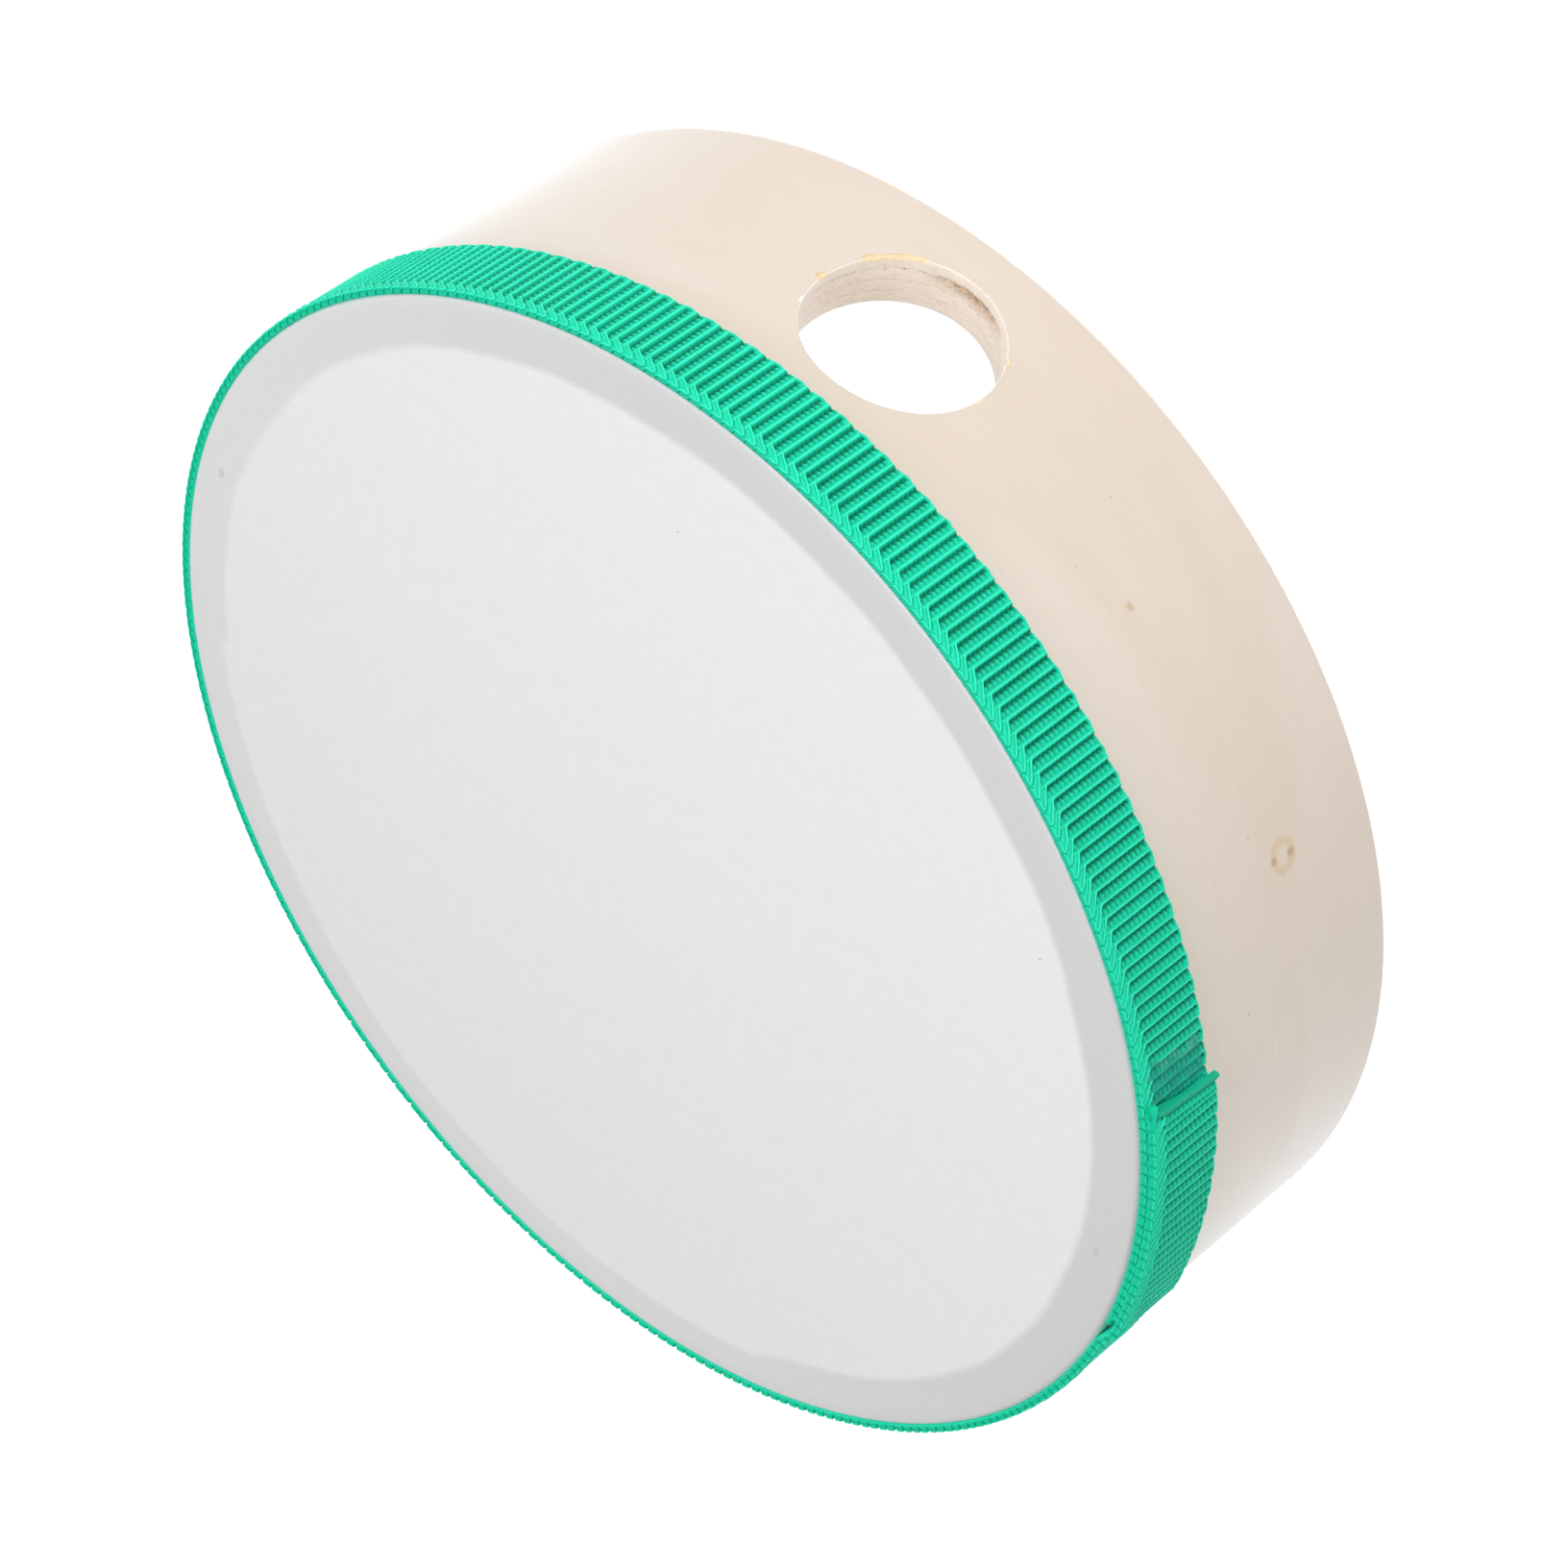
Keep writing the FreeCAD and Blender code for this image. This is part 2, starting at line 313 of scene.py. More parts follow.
def outer_marks(n, place, colour):
    """The outer veneer's own marks over its colour: the knot, a brown spot and small specks."""
    wobble = n.math("MULTIPLY_ADD", n.noise(place, 0.9, 2.0), 0.5, -0.25)
    to_knot = n.distance(place, on_shell(*KNOT[:2]), (1 / KNOT[2], 0, 1 / KNOT[3]))
    to_knot = n.math("ADD", to_knot, wobble)
    ring = n.times(n.span(to_knot, 0.35, 0.85), n.span(to_knot, 1.3, 0.9))
    colour = n.mix(n.span(to_knot, 2.2, 0.9, 0, 0.3), colour, srgb(222, 204, 176))
    colour = n.mix(n.times(ring, 0.55), colour, srgb(208, 174, 126))
    for azimuth, height, radius in KNOT_SPOTS:
        near = n.distance(place, on_shell(azimuth, height))
        colour = n.mix(n.span(near, radius, radius * 0.2, 0, 0.8), colour, srgb(184, 140, 88))
    azimuth, height, radius = BROWN_SPOT
    near = n.distance(place, on_shell(azimuth, height), (1, 0, 1.3))
    colour = n.mix(n.span(near, radius * 1.6, 0.1, 0, 0.75), colour, srgb(196, 165, 110))
    for azimuth, height, radius in SPECKS:
        near = n.distance(place, on_shell(azimuth, height), (0.8, 0, 1.1))
        colour = n.mix(n.span(near, radius, 0.03, 0, 0.5), colour, srgb(140, 122, 104))
    return colour


def veneer_material(name, marked):
    """Pale veneer with the grain running round the drum. marked adds the outer veneer's marks."""
    n = Nodes(name, 0.45, Sheen_Weight=1.0, Sheen_Roughness=0.28, Coat_Roughness=0.25, Coat_IOR=1.6)
    place = n.attribute("grain", vector=True)
    clouds = n.noise(n.scaled(place, (0.016, 1, 0.05)), 1.0, 3.0, 0.55, 0.6)
    streaks = n.noise(n.scaled(place, (0.045, 1, 1.5)), 1.0, 4.0, 0.6, 0.4)
    fibres = n.noise(n.scaled(place, (0.35, 1, 9.0)), 1.0, 3.0, 0.6)
    pores = n.noise(n.scaled(place, (1.3, 1, 7.5)), 1.0, 1.0, 0.4)
    pore_amount = 0.15
    if marked:
        squeeze = (1 / PORE_PATCH[2], 0, 1 / PORE_PATCH[3])
        from_patch = n.distance(place, on_shell(*PORE_PATCH[:2]), squeeze)
        pore_amount = n.span(from_patch, 1.3, 0.4, 0.05, 0.6)
    pores = n.times(n.span(pores, 0.70, 0.78), pore_amount)
    colour = n.mix(n.span(clouds, 0.35, 0.7), srgb(218, 202, 186), srgb(222, 208, 195))
    colour = n.mix(n.span(streaks, 0.42, 0.75, 0, 0.22), colour, srgb(214, 193, 171))
    colour = n.mix(n.span(fibres, 0.5, 0.8, 0, 0.12), colour, srgb(211, 190, 167))
    colour = n.mix(pores, colour, srgb(196, 168, 136))
    cut = n.attribute("cut")
    cut_colour, cut_relief = cut_wood(n, place)
    colour = n.mix(cut, colour, cut_colour)
    grit = n.noise(place, 3.5, 4.0, 0.7)
    fresh = n.mix(n.span(grit, 0.4, 0.62), srgb(243, 226, 188), srgb(235, 207, 155))
    colour = n.mix(n.attribute("torn"), colour, fresh)
    if marked:
        colour = outer_marks(n, place, colour)
    n.put(n.shader.inputs["Coat Weight"], n.span(cut, 0, 1, 0.9, 0.1))
    relief = n.math("MULTIPLY_ADD", fibres, 0.5, n.times(streaks, 0.5))
    relief = n.math("SUBTRACT", relief, n.times(pores, 0.6))
    normal = n.bump(relief, 0.25, 0.05 * MM)
    normal = n.bump(n.times(cut, cut_relief), 0.6, 0.12 * MM, normal)
    return n.finish(colour, normal, n.span(fibres, 0.3, 0.8, 0.48, 0.6))


def cut_wood(n, place):
    """Colour and relief where the plies are cut across: fibres, grit and torn dark glue lines."""
    fibres = n.noise(n.scaled(place, (0.5, 5.0, 0.9)), 1.0, 4.0, 0.65)
    grit = n.noise(n.scaled(place, (1.6, 3.2, 1.6)), 1.0, 4.0, 0.65)
    colour = n.mix(n.span(fibres, 0.35, 0.7), srgb(254, 244, 233), srgb(247, 232, 219))
    colour = n.mix(n.span(grit, 0.54, 0.75, 0, 0.55), colour, srgb(204, 168, 134))
    depth = n.add("SeparateXYZ", {0: place}).outputs[1]
    layer = n.math("FRACT", n.math("MULTIPLY_ADD", depth, MM / PLY, 0.5))
    from_line = n.math("ABSOLUTE", n.math("SUBTRACT", layer, 0.5))
    wobble = n.math("MULTIPLY_ADD", grit, 0.16, -0.08)
    line = n.span(n.math("ADD", from_line, wobble), 0.13, 0.03)
    dots = n.noise(n.scaled(place, (1.9, 0.6, 1.9)), 1.0, 3.0, 0.7)
    line = n.times(line, n.span(dots, 0.47, 0.68))
    wall = WALL / MM
    between = n.times(n.span(depth, 0.6, 1.0), n.span(depth, wall - 0.6, wall - 1.0))
    line = n.times(line, between)
    line = n.times(line, n.span(depth, 2.0, 5.0, 1.0, 0.35))
    colour = n.mix(n.times(line, 0.62), colour, srgb(164, 124, 92))
    relief = n.math("SUBTRACT", n.math("ADD", fibres, grit), line)
    return colour, relief


def core_material():
    """Raw veneer edges inside the finger hole and at the rims: pinkish beige with torn pores."""
    n = Nodes("core_wood", 0.75, Sheen_Weight=0.2, Sheen_Roughness=0.5)
    place = n.attribute("grain", vector=True)
    colour, relief = cut_wood(n, place)
    grit = n.noise(place, 2.2, 4.0, 0.65)
    torn = n.attribute("torn")
    colour = n.mix(torn, colour, n.mix(n.span(grit, 0.4, 0.6), srgb(214, 174, 126), srgb(140, 104, 74)))
    return n.finish(colour, n.bump(relief, 0.6, 0.12 * MM))


# Marks on the skin: x, y and radius in mm.
HEAD_SPOTS = [(70.9, -8.6, 0.62), (-71.1, -3.4, 0.6)]
HEAD_SPECKS = [(5.0, -56.3, 0.16), (-53.0, -38.6, 0.18)]

# The painted band of shade over the rim starts this far from the middle, in mm, and further out across
# the back.
RIM_SHADE_EDGE = 68.6
BACK_STEP = 1.15
BACK_FROM, BACK_TO = (104.9, 106.3), (-147, -153)  # each a short ramp in degrees of azimuth


def skin_material():
    """White skin. The real skin is slightly translucent; here the shade of the shell's rim under it is
    painted on as a darker grey band, stronger towards one side.
    """
    n = Nodes("skin", 0.42, Sheen_Weight=0.1, Sheen_Roughness=0.5)
    place = n.scaled(n.add("TexCoord").outputs["Object"], (1000, 1000, 1000))
    flat = n.scaled(place, (1, 1, 0))
    radius = n.add("VectorMath", {0: flat}, operation="LENGTH").outputs[1]
    wave = n.noise(flat, 0.05, 2.0, 0.5)
    edge = n.math("MULTIPLY_ADD", wave, 1.6, RIM_SHADE_EDGE - 0.8)
    split = n.add("SeparateXYZ", {0: flat}).outputs
    azimuth = n.math("ARCTAN2", split[0], n.times(split[1], -1.0))
    ramps = [n.span(azimuth, *np.radians(ramp)) for ramp in (BACK_FROM, BACK_TO)]
    edge = n.math("MULTIPLY_ADD", n.math("ADD", *ramps), BACK_STEP, edge)
    # Painted shade: a darker band where the shell's rim lies under the skin.
    rim_shade = n.span(n.math("SUBTRACT", radius, edge), -0.7, 0.7)
    mottle = n.noise(flat, 0.45, 4.0, 0.6)
    fine = n.noise(flat, 2.6, 3.0, 0.6)
    white = n.mix(n.span(mottle, 0.3, 0.7), srgb(236, 236, 236), srgb(238, 238, 238))
    shade_grey = n.mix(n.span(fine, 0.3, 0.7), srgb(210, 210, 211), srgb(216, 216, 217))
    # The band's painted shade is stronger towards -X and -Y and weaker across the other side.
    shade_side = n.add("VectorMath", {0: flat, 1: (-0.009, -0.009, 0)}, operation="DOT_PRODUCT")
    strength = n.span(shade_side.outputs["Value"], -0.7, 0.7, 0.45, 1.0)
    colour = n.mix(n.times(rim_shade, strength), white, shade_grey)
    for x, y, size in HEAD_SPOTS:
        near = n.distance(flat, (x, y, 0), (1.2, 0.65, 1))
        colour = n.mix(n.span(near, size * 1.2, size * 0.4, 0, 0.6), colour, srgb(196, 196, 198))
    for x, y, size in HEAD_SPECKS:
        near = n.distance(flat, (x, y, 0))
        colour = n.mix(n.span(near, size, size * 0.4, 0, 0.8), colour, srgb(105, 105, 105))
    normal = n.bump(n.math("MULTIPLY_ADD", fine, 0.5, mottle), 0.2, 0.03 * MM)
    return n.finish(colour, normal, n.span(mottle, 0.3, 0.7, 0.36, 0.5))


def ribbon_material():
    """Green polyester yarn, with a painted highlight on the tops of the yarns and painted shade in the
    grooves, and the sealed ends painted darker.
    """
    n = Nodes("ribbon_green", 0.5, Specular_IOR_Level=0.14, Sheen_Weight=0.9, Sheen_Roughness=0.3)
    n.shader.inputs["Sheen Tint"].default_value = srgb(30, 255, 228)
    place = n.attribute("weave", vector=True)
    filaments = n.noise(n.scaled(place, (1.4, 1, 14.0)), 1.0, 2.0, 0.5)
    tone = n.noise(n.scaled(place, (0.25, 1, 0.4)), 1.0, 3.0, 0.6)
    colour = n.mix(n.span(tone, 0.3, 0.7), srgb(0, 197, 153), srgb(0, 206, 164))
    colour = n.mix(n.span(filaments, 0.4, 0.75, 0, 0.3), colour, srgb(6, 220, 174))
    # Painted highlight on the yarn tops.
    colour = n.mix(n.attribute("crest"), colour, srgb(62, 252, 208))
    # Painted shade in the grooves, on the covered front edge and over the sealed ends.
    colour = n.mix(n.attribute("deep"), colour, srgb(0, 136, 102))
    soak = n.attribute("soak")
    colour = n.mix(n.times(soak, 0.6), colour, srgb(4, 160, 132))
    normal = n.bump(filaments, 0.3, 0.03 * MM)
    return n.finish(colour, normal, n.span(soak, 0.2, 0.8, 0.5, 0.3))


def glue_material():
    """Clear hot-melt glue soaked into the ribbon: darker and bluer, shiny, with pale drag marks and
    painted shade over the weave's grooves.
    """
    n = Nodes("glue", 0.25, Specular_IOR_Level=0.12, Coat_Weight=0.04, Coat_Roughness=0.1)
    place = n.attribute("weave", vector=True)
    patches = n.noise(place, 0.9, 3.0, 0.6)
    turned = n.add("VectorRotate", {"Vector": place, "Angle": math.radians(52)})
    turned.rotation_type = "Y_AXIS"
    drag = n.noise(n.scaled(turned.outputs[0], (0.5, 1, 3.4)), 1.0, 3.0, 0.6, 0.6)
    colour = n.mix(n.span(patches, 0.35, 0.65), srgb(6, 156, 130), srgb(12, 178, 149))
    soak = n.attribute("soak")
    haze = n.mix(n.span(patches, 0.4, 0.6), srgb(30, 170, 138), srgb(66, 178, 150))
    colour = n.mix(n.span(soak, 0.55, 0.95), haze, colour)
    colour = n.mix(n.span(soak, 0.0, 0.4), srgb(2, 176, 134), colour)
    # Painted shade over the weave's grooves under the glue.
    colour = n.mix(n.times(n.attribute("deep"), 0.35), colour, srgb(0, 118, 98))
    streaks = n.times(n.span(drag, 0.56, 0.7), n.span(soak, 0.75, 0.2, 0.05, 0.4))
    colour = n.mix(streaks, colour, srgb(130, 214, 194))
    return n.finish(colour, n.bump(n.math("ADD", patches, drag), 0.4, 0.12 * MM))


# ---- shell ----

# Points round the finger hole, by their angle from +X.
HOLE_POINTS = 360
HOLE_ANGLES = np.linspace(-180, 180, HOLE_POINTS, endpoint=False)
HOLE_COSINE, HOLE_SINE = np.cos(np.radians(HOLE_ANGLES)), np.sin(np.radians(HOLE_ANGLES))

PATCH = 17 * MM  # half the width of the stretch round the hole that has its own mesh
PATCH_COLUMNS = 43
COLUMN_STEP = 1.5  # degrees between the other columns, or a little more
EDGE = 0.45 * MM  # the eased edges at the rims
SHARP = 0.02 * MM  # the same at edges that lie between two plies
HOLE_EDGE = 0.015 * MM  # how little the hole's edge is eased between two plies
PATCH_ROWS = np.linspace(2.2 * MM, 33.4 * MM, 12)
NEAR_RIM = EDGE + np.array([0, 0.2, 0.7]) * MM
FACE_ROWS = np.concatenate([NEAR_RIM, PATCH_ROWS, [38 * MM], SHELL_HEIGHT - NEAR_RIM[::-1]])
PATCH_LOW, PATCH_HIGH = len(NEAR_RIM), len(NEAR_RIM) + len(PATCH_ROWS) - 1
LEAN = math.degrees(SEAM_SLANT / 2 / SHELL_RADIUS)
WALL_STEPS = (0.05, 0.25, 0.5, 0.75, 0.95)  # rings in the hole's wall, as shares of the ply

# Torn wood at the hole's outer edge: middle and half width in degrees round the hole, reach in mm.
CHIPS = [(1, 3.6, 0.75), (-33, 9, 0.6), (-51, 11, 0.5), (-148, 3, 0.4), (178, 3, 0.35), (24, 3, 0.2)]
TEAR = (-92, 32, 0.45)  # the gap torn between the first two veneers, given the same way


def around(middle, half):
    """1 in the middle of a stretch round the hole, falling to 0 at its ends."""
    off = (HOLE_ANGLES - middle + 180) % 360 - 180
    return np.clip(1 - (off / half) ** 2, 0, 1)


def chip_reach():
    """How far the torn edge reaches out from the finger hole, in metres."""
    reach = np.zeros(HOLE_POINTS)
    for k, (middle, half, size) in enumerate(CHIPS):
        jagged = 0.75 + 0.35 * wander(HOLE_ANGLES, SEED + k, 4, 3.1)
        reach = np.maximum(reach, size * MM * jagged * around(middle, half) ** 0.6)
    return reach


def tear_depth():
    """How far the gap between the first two veneers is torn open, in metres."""
    jagged = 0.6 + 0.4 * wander(HOLE_ANGLES, SEED + 30, 5, 2.2)
    return TEAR[2] * MM * around(*TEAR[:2]) * jagged


def patch_edge():
    """How far from the hole's axis the stretch with its own mesh ends."""
    low, high = PATCH_ROWS[0] - HOLE_HEIGHT, PATCH_ROWS[-1] - HOLE_HEIGHT
    tiny = 1e-9
    sine = np.where(np.abs(HOLE_SINE) < tiny, tiny, HOLE_SINE)
    to_side = PATCH * 0.999 / np.maximum(np.abs(HOLE_COSINE), tiny)
    to_end = np.where(HOLE_SINE > 0, high, low) / sine
    return np.minimum(to_side, np.abs(to_end))


def ply_columns(seam):
    """The azimuths of a ring's columns, from one side of its seam round to the other."""
    half = math.degrees(math.asin(PATCH / SHELL_RADIUS))
    gap = math.degrees(SEAM_GAP / SHELL_RADIUS)
    start, end = seam - 360 + gap / 2, seam - gap / 2
    if end < half:
        start, end = start + 360, end + 360
    if start > -half:
        start, end = start - 360, end - 360
    near = np.linspace(-half, half, PATCH_COLUMNS)
    left = np.linspace(start, -half, max(3, int((-half - start) / COLUMN_STEP)))[:-1]
    right = np.linspace(half, end, max(3, int((end - half) / COLUMN_STEP)))[1:]
    first = len(left)
    return np.concatenate([left, near, right]), first, first + len(near) - 1


class Ply:
    """One ply of the shell while its mesh is being built."""

    def __init__(self, index, name):
        self.index = index
        self.name = name
        self.outer = SHELL_RADIUS - index * PLY
        self.inner = self.outer - PLY
        self.hole = HOLE_RADIUS + 0.025 * MM * wander(HOLE_ANGLES, SEED + 10 + index, 8, 4.0)
        self.columns, self.first, self.last = ply_columns(SEAMS[name])
        middle = (self.columns[0] + self.columns[-1]) / 2
        # Only the ends lean with the seam's slant.
        self.slant = LEAN * ((self.columns - middle) / (self.columns[-1] - middle)) ** 9
        self.points, self.torn, self.faces = [], [], []
        self.total = 0

    def add_points(self, points, torn=0.0):
        """Adds points with their torn mark and returns their numbers."""
        self.points.append(points)
        self.torn.append(np.zeros(len(points)) + torn)
        self.total += len(points)
        return np.arange(self.total - len(points), self.total)

    def add_hole_ring(self, distance, torn, radius=0, y=None):
        """Adds a ring of points at that distance from the hole's axis.

        It lies on a face of that radius, or else at the given y.
        """
        x, z = distance * HOLE_COSINE, distance * HOLE_SINE
        if y is None:
            y = -np.sqrt(radius**2 - x**2)
        return self.add_points(np.stack([x, y, HOLE_HEIGHT + z], axis=1), torn)

    def hole_loops(self, side):
        """The rings round the hole on one face, from its edge outwards.

        Each is (distance from the hole's axis, depth below the face, torn mark).
        """
        hole = self.hole
        plain = [(hole + 1.0 * MM, 0, 0), (HOLE_RADIUS + 2.6 * MM, 0, 0)]
        if (self.index, side) != (0, 1):
            beside_tear = {(0, -1): 0.8, (1, 1): 1.0}.get((self.index, side), 0)
            return [(hole + np.maximum(HOLE_EDGE, tear_depth() * beside_tear), 0, 0), *plain]
        reach = chip_reach()
        sunk = np.minimum(0.32 * MM, reach * 0.55)
        torn = smoothstep(0.1 * MM, 0.25 * MM, reach)
        bevel = hole + 0.24 * MM
        return [
            (hole, 0.26 * MM + sunk, torn * 0.5),
            (hole + 0.08 * MM, 0.08 * MM + sunk, torn),
            (bevel, sunk, torn),
            (bevel + reach * 0.7, sunk * 0.8, torn),
            (bevel + reach, sunk * 0.55, torn),
            (bevel + 0.04 * MM + reach * 1.02, 0, torn * 0.4),
            (hole + 0.8 * MM + reach * 0.8, 0, 0),
            plain[-1],
        ]

    def add_face(self, side):
        """The outer face (side 1) or the inner one (side -1), with the finger hole in it.

        Returns the point numbers of its rows, lowest first, and of the hole's edge.
        """
        radius = self.outer if side == 1 else self.inner
        azimuth = self.columns + side * self.slant
        rows = [self.add_points(round_point(radius, azimuth, z)) for z in FACE_ROWS]
        start, count = rows[0][0], len(self.columns)
        quads = np.array(grid(len(rows), count))
        row, column = np.divmod(quads[:, 0], count)
        in_patch = (self.first <= column) & (column < self.last)
        in_patch &= (PATCH_LOW <= row) & (row < PATCH_HIGH)
        faces = (start + quads[~in_patch]).tolist()

        loops = self.hole_loops(side)
        outermost = loops[-1][0]
        to_edge = patch_edge() - outermost
        loops += [(outermost + to_edge * share, 0, 0) for share in (0.25, 0.5, 0.75, 0.94)]
        rings = [self.add_hole_ring(away, torn, radius - depth) for away, depth, torn in loops]
        faces += grid(len(rings), HOLE_POINTS, loop_columns=True, start=rings[0][0])
        patch = np.array(rows)[PATCH_LOW : PATCH_HIGH + 1, self.first : self.last + 1]
        flat = np.concatenate(self.points)[:, [0, 2]]
        faces += stitch(rings[-1], border(patch), flat, np.array([0, HOLE_HEIGHT]))
        self.faces += [face[::side] for face in faces]
        return rows, rings[0]

    def add_rim(self, level, sign, outer_row, inner_row):
        """The rim at the top (sign 1) or the bottom (sign -1), from the outer face to the inner."""
        chain = [outer_row]
        for side, radius, shown in ((1, self.outer, 0), (-1, self.inner, len(PLIES) - 1)):
            ease, steps = (EDGE, (25, 55, 90)) if self.index == shown else (SHARP, (90,))
            for t in np.radians(steps[::side]):
                r = radius - side * ease * (1 - math.cos(t))
                z = level - sign * ease * (1 - math.sin(t))
                chain.append(self.add_points(round_point(r, self.columns + side * self.slant, z)))
        chain.append(inner_row)
        for upper, lower in zip(chain, chain[1:]):
            self.faces += bridge(upper, lower)
        return chain[1:-1]

    def add_wall(self, outer_edge, inner_edge):
        """The wall of the finger hole, a little uneven, and torn between the first two plies."""
        points = np.concatenate(self.points)
        chain = [outer_edge]
        for k, share in enumerate(WALL_STEPS):
            ripple = 0.03 * MM * wander(HOLE_ANGLES, SEED + 50 + 7 * self.index + k, 7, 1.9)
            ripple *= min(1.0, 6 * min(share, 1 - share))
            bulge = 0.012 * MM * min(1.0, 4 * share * (1 - share))
            x, y, z = (points[outer_edge] * (1 - share) + points[inner_edge] * share).T
            distance = np.hypot(x, z - HOLE_HEIGHT)
            if self.index <= 1:
                from_tear = share if self.index == 1 else 1 - share
                distance = self.hole + (distance - self.hole) * (1 - from_tear) ** 1.5
            torn = around(*TEAR[:2]) * (1 - share) if self.index == 1 else 0.0
            chain.append(self.add_hole_ring(distance - bulge + ripple, torn, y=y))
        chain.append(inner_edge)
        for near, far in zip(chain, chain[1:]):
            self.faces += bridge(near, far, closed=True)

    def grain_place(self, points):
        """Where each point lies in the wood: round the drum, into the wall and up, in mm."""
        lowest = self.columns[0] - 5
        azimuth = np.degrees(np.arctan2(points[:, 0], -points[:, 1]))
        azimuth = (azimuth - lowest) % 360 + lowest
        depth = (SHELL_RADIUS - np.hypot(points[:, 0], points[:, 1])) / MM
        return np.stack([np.radians(azimuth) * SHELL_RADIUS / MM, depth, points[:, 2] / MM], axis=1)

    def cut_across(self, points, depth):
        """1 where the wood is cut across, at the rims and in the hole, and 0 on the round faces."""
        to_outer = np.abs(depth - self.index * PLY / MM)
        to_inner = np.abs(depth - (self.index + 1) * PLY / MM)
        from_hole = np.hypot(points[:, 0], points[:, 2] - HOLE_HEIGHT) - HOLE_RADIUS
        near_hole = (from_hole < 0.2 * MM) & (points[:, 1] < 0)
        return ((np.minimum(to_outer, to_inner) > SHARP / MM) | near_hole).astype(float)

    def build(self, material):
        """Two round faces, eased rims, the two slanted seam ends and the hole's wall."""
        outer_rows, outer_edge = self.add_face(1)
        inner_rows, inner_edge = self.add_face(-1)
        top = self.add_rim(SHELL_HEIGHT, 1, outer_rows[-1], inner_rows[-1])
        bottom = self.add_rim(0.0, -1, outer_rows[0], inner_rows[0])
        ring = [*outer_rows, *top, *inner_rows[::-1], *bottom[::-1]]
        for end in (0, -1):
            self.faces.append([int(row[end]) for row in ring])
        self.add_wall(outer_edge, inner_edge)
        points = np.concatenate(self.points)
        grain = self.grain_place(points)
        attributes = {"grain": grain, "torn": np.concatenate(self.torn)}
        attributes["cut"] = self.cut_across(points, grain[:, 1])
        name = self.name + "_veneer"
        make_piece(name, points, self.faces, material, self.name, attributes)


def make_shell():
    """The four plies, from the outside inwards."""
    core = core_material()
    outside = veneer_material("outer_veneer", marked=True)
    inside = veneer_material("inner_veneer", marked=False)
    for index, (name, material) in enumerate(zip(PLIES, [outside, core, core, inside])):
        Ply(index, name).build(material)


# ---- skin ----


def make_skin():
    """The skin: flat over the rim, folded down outside the shell, as one closed thin sheet."""
    columns = np.linspace(0, 360, 360, endpoint=False)
    fold = EDGE + HEAD_THICKNESS
    profile = [(r * MM, HEAD_TOP) for r in (4, 12, 24, 36, 48, 58, 64, 67, 68.2, 69.4, 71, 73)]
    profile += [
        (HEAD_RADIUS - fold * (1 - math.sin(t)), HEAD_TOP - fold * (1 - math.cos(t)))
        for t in np.radians([0, 20, 40, 60, 78, 90])
    ]
    profile += [(HEAD_RADIUS, z) for z in (HEAD_TOP - 3 * MM, HEAD_BOTTOM + 2 * MM, HEAD_BOTTOM)]
    under = HEAD_TOP - HEAD_THICKNESS
    back = [(SHELL_RADIUS, HEAD_BOTTOM), (SHELL_RADIUS, under - EDGE)]
    back += [(SHELL_RADIUS - EDGE * 0.4, under - EDGE * 0.2), (SHELL_RADIUS - EDGE, under)]
    back += [(r * MM, under) for r in (70, 62, 48, 30, 12, 4)]
    rings = profile + back
    points = [round_point(r, columns, z) for r, z in rings]
    faces = grid(len(rings), len(columns), loop_columns=True)
    count = len(columns)
    middle = len(rings) * count
    points.append(np.array([[0, 0, HEAD_TOP], [0, 0, under]]))
    for k in range(count):
        for ring, centre in ((0, middle), (middle - count, middle + 1)):
            faces.append([ring + k, ring + (k + 1) % count, centre])
    piece = make_piece("skin", np.concatenate(points), faces, skin_material(), "drum_head")


# ---- ribbon ----

RIB_ANGLE = 360 / 296  # one rib, in degrees of azimuth
STRAND = 0.365 * MM  # the warp yarns lie this far apart; every other one shows on a rib
RIB_STEPS = np.array([0.0, 0.08, 0.19, 0.31, 0.43, 0.57, 0.73, 0.88])
# The smooth line at CREST and the separate yarns at BEADS get a painted highlight.
CREST = 0.31  # where across a rib its smooth shiny line runs, from groove to groove
BEADS = 0.73  # where across a rib its row of separate yarns stands up
SELVEDGE = 1.15 * MM  # the width of the front edge that the edge threads cover
WRAP = 0.22 * MM  # how far the edge threads stand out in front of the weave
WOVEN = RIBBON_WIDTH - WRAP
SEALED = 1.2 * MM  # the smooth band where the ribbon's end was cut with heat
ROW_STEP = STRAND / 2
END_STEPS = np.array([0.55, 0.42, 0.3, 0.2, 0.12, 0.06, 0.02, 0.0])  # degrees from the cut end
START_STEPS = np.array([0.04, 0.14, 0.5])  # degrees from the start, on top of the whole ribs


def back_radius(azimuth):
    """The radius of the ribbon's back: on the skin, or on the ribbon's own start in the lap."""
    rise = RIBBON_THICKNESS + LAP_GAP
    lap = RIBBON_START + 360
    return RIBBON_BACK + rise * smoothstep(lap - LAP_RAMP, lap - 0.3, azimuth)


def rear_height(azimuth):
    """The height of the ribbon's rear edge, which wanders a little and drops in the lap."""
    lap = smoothstep(RIBBON_START + 360 - 8, RIBBON_END, azimuth)
    near = smoothstep(-48, -64, np.where(azimuth > 180, azimuth - 360, azimuth))
    return RIBBON_REAR + (-0.45 * lap - 0.25 * near * (azimuth < 180)) * MM


def rib_position(azimuth):
    """How many ribs a place lies from the ribbon's start."""
    return (azimuth - RIBBON_START) / RIB_ANGLE


def bell(x, middle, width):
    """1 at the middle, falling to 0 on both sides."""
    return np.exp(-(((x - middle) / width) ** 2))


